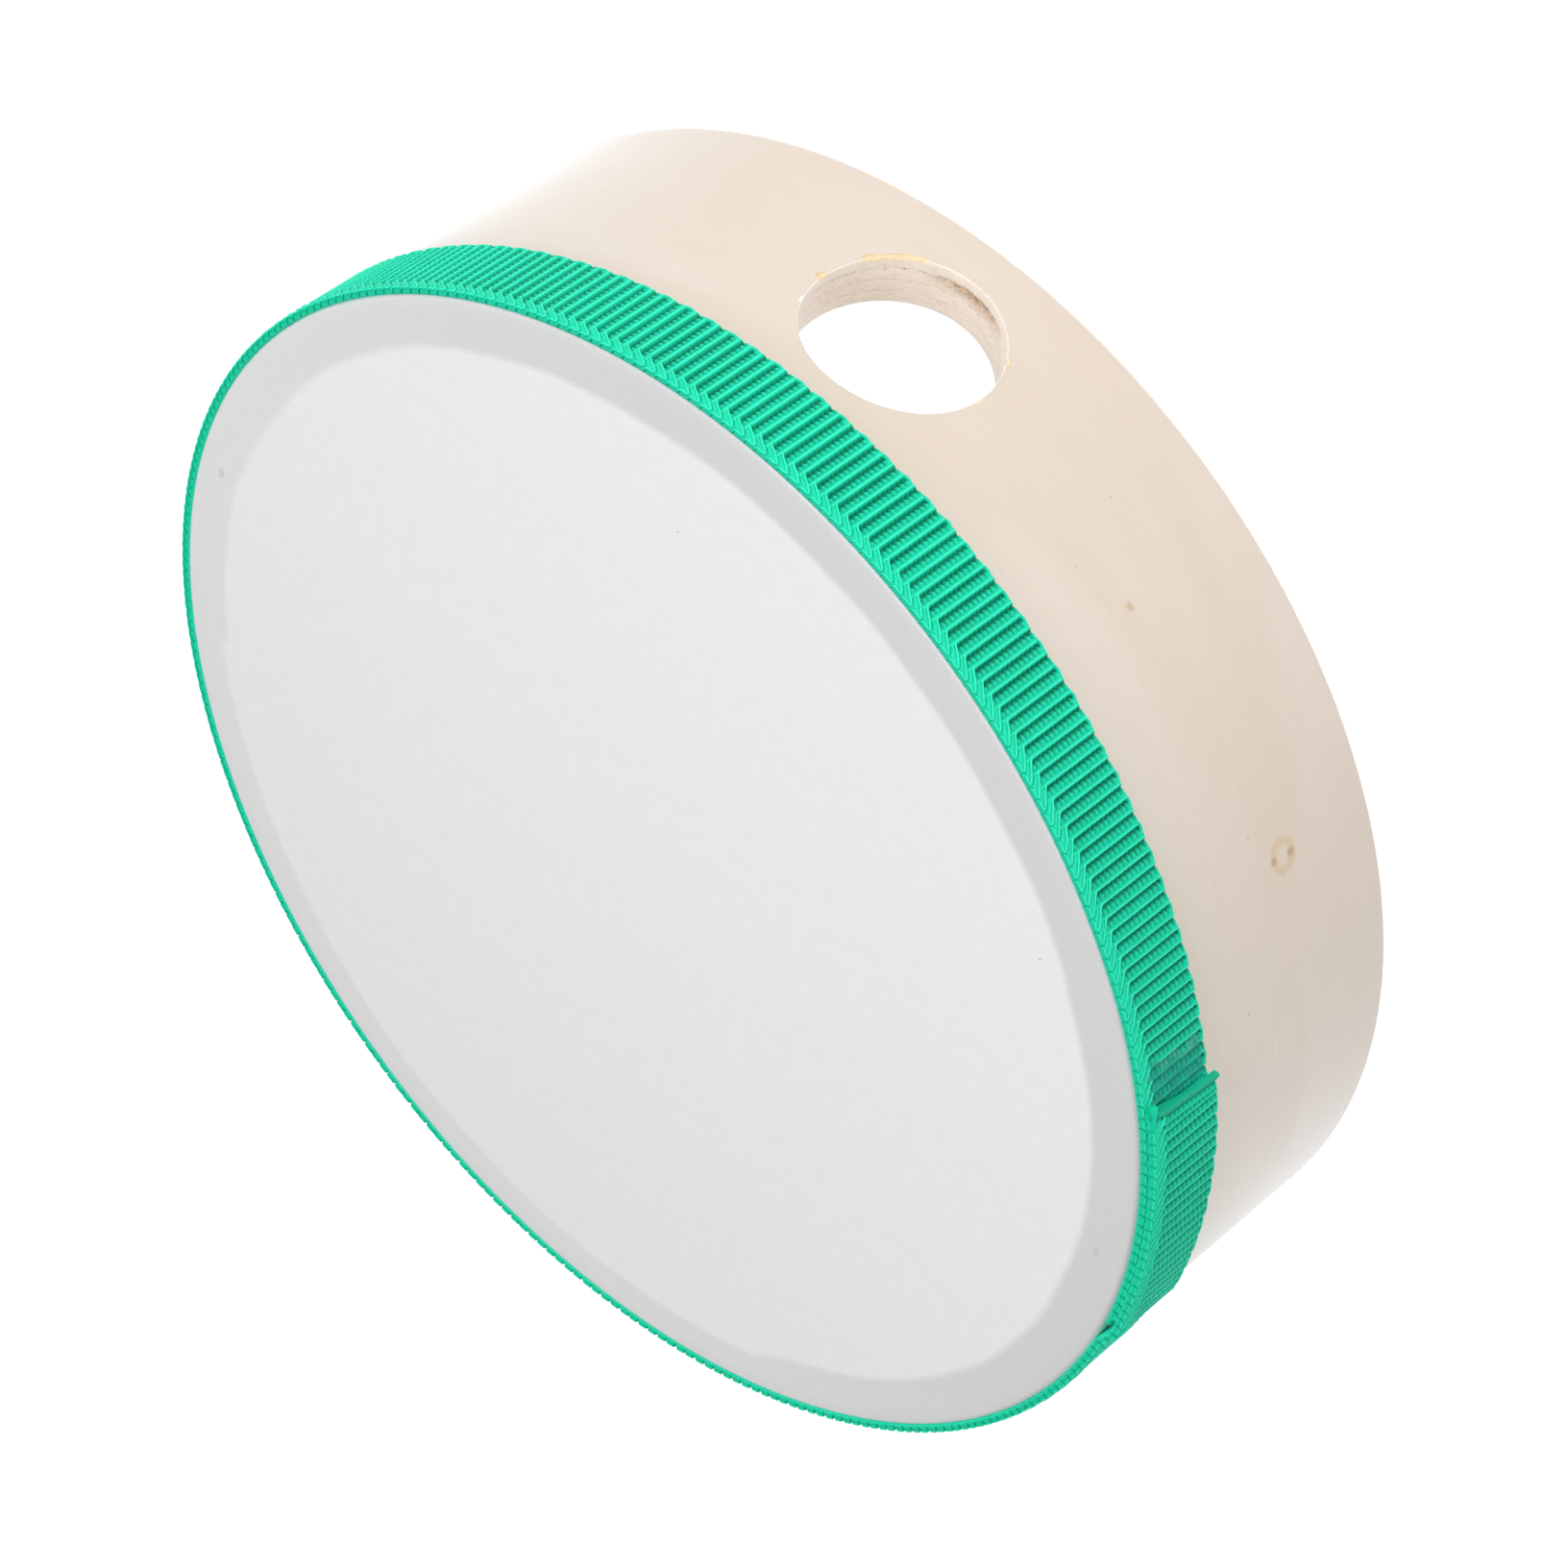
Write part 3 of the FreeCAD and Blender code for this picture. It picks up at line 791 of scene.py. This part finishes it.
def weave_height(ribs, across):
    """The weave's surface above the ribbon's back, with painted shade for its grooves and a painted
    highlight for its shiny yarn tops.

    Each rib is two weft yarns under warp yarns that pass over it side by side, and the warps of
    neighbouring ribs interlock in the groove between them. The warps lie tight over the first weft
    and part a little over the second.
    """
    best, crest = np.zeros(ribs.shape), np.zeros(ribs.shape)
    for step in (-1, 0, 1):
        rib = np.floor(ribs) + step
        x = ribs - rib
        shape = np.abs(2 * x - 1)
        jitter = 0.02 * np.sin(rib * 12.9898) + 0.012 * np.sin(rib * 4.1 + across / MM * 0.8)
        arch = 1.0 + jitter - 0.5 * shape**2.4 - 0.16 * bell(x, 0.53, 0.12)
        phase = across / STRAND + 0.6 * (x - 0.5) + rib % 2 + 0.3 * np.sin(rib * 1.7)
        off = (phase + 1) % 2 - 1
        tight = bell(x, CREST, 0.17)
        parted = (0.05 + 0.30 * smoothstep(0.42, 0.62, x) + 1.0 * shape**4) * (1 - 0.9 * tight)
        arch = arch - 0.8 * parted * off**2
        bead = bell(x, BEADS, 0.14) * np.clip(1 - 1.5 * np.abs(off), 0, 1)
        # Painted highlight along the smooth line and on the tops of the separate yarns.
        shine = 0.95 * bell(x, CREST, 0.065) + 0.5 * bead
        inside = (x > -0.2) & (x < 1.2)
        higher = inside & (arch > best)
        best, crest = np.where(higher, arch, best), np.where(higher, shine, crest)
    height = RIBBON_THICKNESS * np.maximum(best, 0.26)
    # Painted shade in the grooves: the lower the surface, the darker.
    deep = smoothstep(0.90, 0.48, best)
    return height, deep, crest


def ribbon_profile(azimuth, across):
    """Height, painted groove shade and painted highlight anywhere on the ribbon, with its edges and
    sealed ends.
    """
    height, deep, crest = weave_height(rib_position(azimuth), across)
    front = WOVEN - across
    covered = smoothstep(SELVEDGE, SELVEDGE * 0.5, front)
    height = height + (0.84 * RIBBON_THICKNESS - height) * covered
    rounding = np.clip(np.minimum(across / (0.4 * MM), front / (0.2 * MM)), 0, 1)
    height = height * (0.35 + 0.65 * np.sqrt(1 - (1 - rounding) ** 2))
    from_end = np.radians(RIBBON_END - azimuth) * (SHELL_RADIUS + 2 * MM)
    from_start = np.radians(azimuth - RIBBON_START) * SHELL_RADIUS
    nearest = np.minimum(from_end, from_start)
    sealed = smoothstep(SEALED * 1.1, SEALED * 0.8, nearest)
    flat = 0.70 + 0.04 * wander(across / MM, SEED + 3, 4, 1.3)
    flat = flat + 0.10 * bell(nearest, 0.4 * MM, 0.35 * MM)
    height = height + (flat * RIBBON_THICKNESS - height) * sealed
    tip = np.clip(nearest / (0.25 * MM), 0, 1)
    height = height * (0.4 + 0.6 * np.sqrt(1 - (1 - tip) ** 2))
    # The covered front edge gets some painted shade and a painted highlight near its front. The sealed
    # end is painted darker and gets a painted highlight on its lip.
    deep = deep * (1 - covered) + 0.3 * covered
    crest = crest * (1 - covered) + 0.4 * covered * smoothstep(0.5 * MM, 0.1 * MM, front)
    crest = crest * (1 - sealed) + 0.3 * sealed * bell(nearest, 0.2 * MM, 0.3 * MM)
    return height, deep * (1 - sealed) + 0.6 * sealed, crest


def soaked(azimuth, across):
    """How much glue has soaked into the ribbon just beyond its lapped end, from 0 to 1."""
    beyond = np.radians(azimuth - (RIBBON_END - 360)) * SHELL_RADIUS / MM
    edge = 4.6 + 1.3 * wander(across / MM, SEED + 90, 4, 3.3)
    return smoothstep(edge, edge - 2.6, beyond) * smoothstep(0.9 * MM, 2.2 * MM, RIBBON_WIDTH - across)


def weave_place(azimuth, across):
    """Where points lie in the weave, along the ribbon and across it, in mm."""
    along = np.radians(azimuth.ravel()) * SHELL_RADIUS / MM
    return np.stack([along, along * 0, across.ravel() / MM], axis=1)


def make_ribbon(name, start, end, material):
    """One stretch of the ribbon as a closed mesh, woven on its outside."""
    first, last = int(np.ceil(rib_position(start) - 1e-6)), int(np.floor(rib_position(end) + 1e-6))
    ribs = (np.arange(first, last)[:, None] + RIB_STEPS).ravel()
    azimuth = RIBBON_START + ribs * RIB_ANGLE
    azimuth = np.append(azimuth, RIBBON_START + last * RIB_ANGLE)
    if start == RIBBON_START:
        azimuth = np.sort(np.append(azimuth, RIBBON_START + START_STEPS))
    if end == RIBBON_END:
        azimuth = np.append(azimuth[azimuth < RIBBON_END - 0.6], RIBBON_END - END_STEPS)
    rows = np.arange(0.35 * MM, WOVEN - 0.3 * MM, ROW_STEP)
    edge = np.array([0, 0.04, 0.12, 0.22]) * MM
    across = np.concatenate([edge, rows, WOVEN - edge[::-1]])
    column, row = np.meshgrid(azimuth, across)
    height, deep, crest = ribbon_profile(column, row)
    soak = soaked(column, row)
    outside = ribbon_point(column, row, height)
    column_b, row_b = np.meshgrid(azimuth, np.array([1.0, 0.5, 0.0]) * WOVEN)
    inside = ribbon_point(column_b, row_b, 0)
    points = np.concatenate([outside, inside])
    count, lines = len(azimuth), len(across) + 3
    faces = grid(lines, count, loop_rows=True)
    faces.append([k * count for k in range(lines)])
    faces.append([k * count + count - 1 for k in range(lines)][::-1])
    marks = {"weave": np.vstack([weave_place(column, row), weave_place(column_b, row_b)])}
    # Painted shade and painted highlight for the material, and how far the glue has soaked in.
    for key, front, back in (("deep", deep, 0.0), ("crest", crest, 0.35), ("soak", soak, 0.0)):
        marks[key] = np.append(front, np.full(row_b.size, back))
    piece = make_piece(name, points, faces, material, "trim_tape", marks)


def ribbon_point(azimuth, across, height):
    """A point of the ribbon. Its cut end leans, flares at the front and has a rear corner."""
    middle = across / RIBBON_WIDTH
    lean = -0.9 - 0.75 * (1 - middle) + 0.5 * smoothstep(0.8, 1.0, middle)
    share = smoothstep(4.0, 0.0, RIBBON_END - azimuth)
    corner = -0.4 * MM * smoothstep(1.2, 0.1, RIBBON_END - azimuth) * bell(middle, 0, 0.2)
    tuck = -0.25 * MM * smoothstep(1.3, 0.0, RIBBON_END - azimuth) * smoothstep(0.8, 1.0, middle)
    radius = back_radius(azimuth) + height + tuck
    return round_point(radius, azimuth + share * lean, rear_height(azimuth) + across + corner)


def tube(path, radius, sides):
    """A closed tube along a path of points, rounded at its ends. Returns its points and faces."""
    tangent = np.gradient(path, axis=0)
    tangent /= np.linalg.norm(tangent, axis=1)[:, None]
    side = np.cross(tangent[0], [0.3, 0.4, 0.5])
    sides_along = []
    for direction in tangent:
        side = side - direction * (side @ direction)
        side = side / np.linalg.norm(side)
        sides_along.append(side)
    side = np.array(sides_along)
    up = np.cross(side, tangent)
    turn = np.linspace(0, 2 * np.pi, sides, endpoint=False)
    ring = np.cos(turn)[None, :, None] * side[:, None] + np.sin(turn)[None, :, None] * up[:, None]
    walked = np.append(0, np.cumsum(np.linalg.norm(np.diff(path, axis=0), axis=1)))
    from_end = np.clip(np.minimum(walked, walked[-1] - walked) / radius, 0, 1)
    thickness = radius * (0.3 + 0.7 * np.sqrt(1 - (1 - from_end) ** 2))
    points = (path[:, None] + thickness[:, None, None] * ring).reshape(-1, 3)
    faces = grid(len(path), sides, loop_columns=True)
    faces.append(list(range(sides))[::-1])
    faces.append([(len(path) - 1) * sides + k for k in range(sides)])
    return points, faces


def smooth_path(corners, steps):
    """Points along a smooth curve through the corners, a Catmull-Rom spline."""
    c = np.array(corners, float)
    c = np.vstack([2 * c[0] - c[1], c, 2 * c[-1] - c[-2]])
    spline = 0.5 * np.array([[0, 2, 0, 0], [-1, 0, 1, 0], [2, -5, 4, -1], [-1, 3, -3, 1]])
    powers = np.linspace(0, 1, steps, endpoint=False)[:, None] ** np.arange(4)
    runs = [powers @ spline @ c[k : k + 4] for k in range(len(c) - 3)]
    return np.concatenate([*runs, c[-2:-1]])


def on_ribbon(ribs, across_mm, height_mm):
    """A point on the ribbon from its place in ribs, across from the rear edge, and its height."""
    azimuth = RIBBON_START + ribs * RIB_ANGLE
    radius = back_radius(azimuth) + height_mm * MM
    return round_point(radius, azimuth, rear_height(azimuth) + across_mm * MM)


def make_threads(name, thread_list, material):
    """Many tubes as one piece, each as (corners in ribs, mm, mm; radius in mm; steps; sides).

    The weave attribute runs along each thread. The high parts get a painted highlight, stronger on thin
    threads than on fat ones, and the low parts get painted shade.
    """
    points, faces, weave, rise, shine = [], [], [], [], []
    total = 0
    for corners, radius, steps, sides in thread_list:
        line = smooth_path(corners, steps)
        tube_points, tube_faces = tube(on_ribbon(*line.T), radius * MM, sides)
        points.append(tube_points)
        faces += [[total + v for v in face] for face in tube_faces]
        length = np.repeat(np.arange(len(line)) * 0.3, sides)
        turn = np.tile(np.arange(sides) * 0.12, len(line))
        weave.append(np.stack([length + total * 0.37, length * 0, turn], axis=1))
        back = back_radius(RIBBON_START + np.repeat(line[:, 0], sides) * RIB_ANGLE)
        above = np.hypot(tube_points[:, 0], tube_points[:, 1]) - back
        rise.append(above / RIBBON_THICKNESS)
        shine.append(np.full(len(tube_points), 0.7 if np.mean(radius) < 0.15 else 0.25))
        total += len(tube_points)
    rise = np.concatenate(rise)
    # Painted shade on the low parts of the threads and a painted highlight on their high parts.
    marks = {"weave": np.concatenate(weave), "deep": smoothstep(0.8, 0.4, rise) * 0.3}
    marks["crest"] = smoothstep(0.6, 1.0, rise) * np.concatenate(shine)
    marks["soak"] = np.zeros(total)
    make_piece(name, np.concatenate(points), faces, material, "trim_tape", marks)


def front_threads(rng):
    """The front edge, crocheted along the weave: one leaf of yarn for each rib.

    A fat strand wraps over the ribbon's thickness and slants inwards. The shiny line of the next
    rib runs on along the strand, round its tip and back along the ribbon's front.
    """
    width = RIBBON_WIDTH / MM
    threads = []
    for k in range(1, int(rib_position(RIBBON_END)) - 1):
        j = rng.normal(0, 0.025, 3)
        rise = 0.05 * (k % 2) - 0.03
        s = k + 0.62 + j[0] - 0.05 * (k % 2)
        strand = [
            (s - 0.58, width - 0.48, 0.50),
            (s - 0.44, width - 0.46, 0.66 + rise),
            (s - 0.08, width - 0.58, 0.74 + rise + j[1]),
            (s + 0.34, width - 1.00, 0.76 + rise + j[2]),
            (s + 0.62, width - 1.36, 0.64),
            (s + 0.78, width - 1.70, 0.30),
        ]
        threads.append((strand, 0.31, 2, 8))
        line = [
            (k + 1 + CREST, width - 2.40, 0.66),
            (k + 1 + CREST, width - 2.00, 0.92),
            (k + 1.18, width - 1.66, 0.99),
            (s + 0.22, width - 1.28, 1.00 + rise),
            (s - 0.20, width - 0.85, 0.98 + rise + j[1]),
            (s - 0.54, width - 0.50, 0.93 + rise),
            (s - 0.66, width - 0.28, 0.86),
            (s - 0.42, width - 0.20, 0.84),
            (s - 0.06, width - 0.24, 0.86),
            (s + 0.14, width - 0.13, 0.62),
            (s + 0.18, width - 0.13, 0.10),
        ]
        threads.append((line, 0.125, 3, 6))
    end = rib_position(RIBBON_END)
    flap = [
        (end + 0.05, width - 1.05, 0.32),
        (end - 0.40, width - 0.80, 0.40),
        (end - 1.00, width - 0.62, 0.46),
        (end - 1.60, width - 0.52, 0.56),
        (end - 2.20, width - 0.45, 0.56),
    ]
    threads.append((flap, np.linspace(0.58, 0.22, 25), 6, 12))
    return threads


def rear_threads(rng):
    """The rear edge: low turns of weft that join the other pairs of ribs."""
    threads = []
    ribs = int(rib_position(RIBBON_END)) - 2
    for k in range(2, ribs, 2):
        j = rng.normal(0, 0.03, 3)
        a, b = k + 0.45 + j[0], k + 1.45 + j[1]
        turn = [
            (a - 0.02, 1.2, 0.45),
            (a + 0.03, 0.55, 0.74),
            ((a + b) / 2, 0.16 + j[2], 0.60),
            (b - 0.03, 0.55, 0.74),
            (b + 0.02, 1.2, 0.45),
        ]
        threads.append((turn, 0.22, 3, 8))
    return threads


def make_glue():
    """The glue beyond the ribbon's end: it softens the weave under it and thins out unevenly."""
    start = RIBBON_END - 360
    columns = np.linspace(start - 2.6, start + 5.0, 120)
    across = np.linspace(0.5 * MM, RIBBON_WIDTH - 0.9 * MM, 84)
    column, row = np.meshgrid(columns, across)
    height, deep, _ = ribbon_profile(column, row)
    soak = soaked(column, row)
    filled = (0.70 + 0.08 * wander(row / MM + column, SEED + 91, 3, 1.7)) * RIBBON_THICKNESS
    surface = height * 0.4 + filled * 0.6 + 0.1 * MM
    surface = np.maximum(surface, height + 0.03 * MM) * (soak > 0.3) + surface * (soak <= 0.3)
    surface = surface - 0.3 * MM * smoothstep(0.35, 0.0, soak)
    surface = surface - 0.4 * MM * smoothstep(0.6 * MM, 0.0, row - across[0])
    outside = round_point(RIBBON_BACK + surface, column, rear_height(column) + row)
    inside = round_point(RIBBON_BACK + 0.15 * MM, column, rear_height(column) + row)
    rows, count = column.shape
    faces = grid(rows, count) + [f[::-1] for f in grid(rows, count, start=rows * count)]
    rim = border(np.arange(rows * count).reshape(rows, count))
    faces += bridge(rim, rim + rows * count, closed=True)
    marks = {"weave": np.tile(weave_place(column, row), (2, 1))}
    marks["soak"] = np.tile(soak.ravel(), 2)
    # The weave's painted groove shade, carried on under the glue.
    marks["deep"] = np.tile(deep.ravel(), 2)
    points = np.concatenate([outside, inside])
    make_piece("glue_smear", points, faces, glue_material(), "lap_glue", marks)


def make_trim():
    """The ribbon in three stretches that meet between whole ribs, its edge threads and the glue."""
    green = ribbon_material()
    ribs = rib_position(RIBBON_END)
    ends = [RIBBON_START + round(ribs * k / 3) * RIB_ANGLE for k in range(3)] + [RIBBON_END]
    for k in range(3):
        make_ribbon(f"ribbon_{k + 1}", ends[k], ends[k + 1], green)
    rng = np.random.default_rng(SEED)
    make_threads("selvedge_front", front_threads(rng), green)
    make_threads("selvedge_rear", rear_threads(rng), green)
    make_glue()


# ---- studio ----

FLOOR_GLOW = 0.95
WORLD_GLOW = (0.41, 0.17)  # from the brighter side to the darker one

# The camera's place and directions, and its focal length in mm on a 36 mm wide sensor.
CAMERA_PLACE = Vector((-0.222704, -0.491182, 0.378527))
CAMERA_AHEAD = Vector((0.342135, 0.758804, -0.554221)).normalized()
CAMERA_UP = Vector((0.602311, -0.629809, -0.490472))
CAMERA_LENS = 125.77


def make_floor():
    """A pale floor lit from below like a light table, so that nothing behind the drum is grey."""
    n = Nodes("floor", 0.9)
    glow = n.noise(n.add("TexCoord").outputs["Object"], 0.5, 1.0)
    n.put(n.shader.inputs["Emission Color"], (1.0, 1.0, 1.0, 1.0))
    n.put(n.shader.inputs["Emission Strength"], FLOOR_GLOW)
    n.finish(n.mix(glow, srgb(120, 120, 120), srgb(122, 122, 122)))
    half = 2.5
    corners = [(-half, -half, 0), (half, -half, 0), (half, half, 0), (-half, half, 0)]
    mesh = bpy.data.meshes.new("floor")
    mesh.from_pydata(corners, [], [[0, 1, 2, 3]])
    mesh.materials.append(n.material)
    floor = add_object("floor", mesh)
    floor.location.z = cad_box[0][2]


def make_lamp(name, azimuth, elevation, distance, size, watts):
    """A square soft lamp that faces the drum from that direction."""
    data = bpy.data.lights.new(name, "AREA")
    data.shape = "SQUARE"
    data.size = size
    data.energy = watts
    lamp = add_object(name, data)
    turn, rise = math.radians(azimuth), math.radians(elevation)
    away = Vector((math.sin(turn) * math.cos(rise), -math.cos(turn) * math.cos(rise), math.sin(rise)))
    target = Vector((0, 0, SHELL_HEIGHT / 2))
    lamp.location = target + away * distance
    lamp.rotation_euler = away.to_track_quat("Z", "Y").to_euler()


def make_world():
    """Soft light from all round, brighter from one side. The camera sees it as pale as the floor."""
    world = bpy.data.worlds.new("studio")
    bpy.context.scene.world = world
    world.use_nodes = True
    n = Tree(world.node_tree)
    place = n.add("TexCoord").outputs["Generated"]
    side = n.add("VectorMath", {0: place, 1: (-1, -0.1, 0)}, operation="DOT_PRODUCT")
    glow = n.span(side.outputs["Value"], -0.6, 0.9, *WORLD_GLOW)
    seen = n.add("LightPath").outputs["Is Camera Ray"]
    background = n.tree.nodes["Background"].inputs
    n.put(background["Color"], (1, 1, 1, 1))
    n.put(background["Strength"], n.math("MAXIMUM", glow, seen))


def make_camera():
    """The camera, a long lens turned on its side."""
    data = bpy.data.cameras.new("camera")
    data.sensor_width = 36
    data.lens = CAMERA_LENS
    data.clip_start = 0.01
    camera = add_object("camera", data)
    right = CAMERA_AHEAD.cross(CAMERA_UP).normalized()
    up = right.cross(CAMERA_AHEAD)
    place = Matrix((right, up, -CAMERA_AHEAD)).transposed().to_4x4()
    place.translation = CAMERA_PLACE
    camera.matrix_world = place
    bpy.context.scene.camera = camera


# ---- scene ----

make_camera()
make_floor()
make_world()
make_lamp("key", azimuth=-2, elevation=20, distance=0.7, size=0.5, watts=1.82)
make_lamp("top", azimuth=0, elevation=76, distance=0.6, size=0.45, watts=2.25)
bpy.context.scene.view_settings.view_transform = "Standard"

make_shell()
make_skin()
make_trim()
